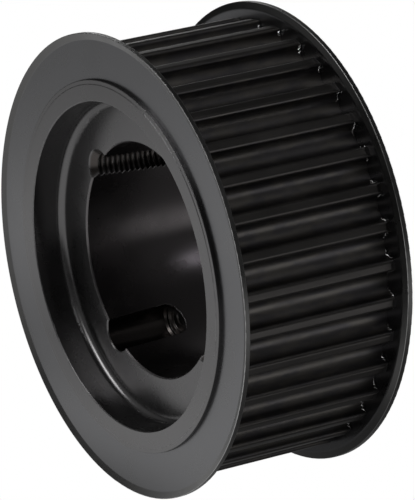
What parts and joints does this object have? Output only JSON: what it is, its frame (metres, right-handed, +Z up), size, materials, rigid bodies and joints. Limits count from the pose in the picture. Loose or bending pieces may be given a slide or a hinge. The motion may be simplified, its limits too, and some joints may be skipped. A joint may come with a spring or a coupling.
{
  "type": "timing belt pulley",
  "caption": "Flanged timing belt pulley with round belt grooves and a recessed hub whose tapered bore takes a clamping bush.",
  "frame": {"origin": "centre of the pulley on its axis, midway between its end faces", "axes": "+Y along the pulley's axis from the front face, where the bore is widest, to the rear; +Z up; +X to the right seen from the front"},
  "size_m": [0.1686, 0.07, 0.1686],
  "materials": {
    "blackened_iron": "machined and blackened, satin, with fine turning marks",
    "blackened_steel": "pressed sheet, blackened, satin"
  },
  "bodies": {
    "root": {"pulley_body": "blackened_iron", "front_flange": "blackened_steel", "rear_flange": "blackened_steel"}
  },
  "joints": []
}
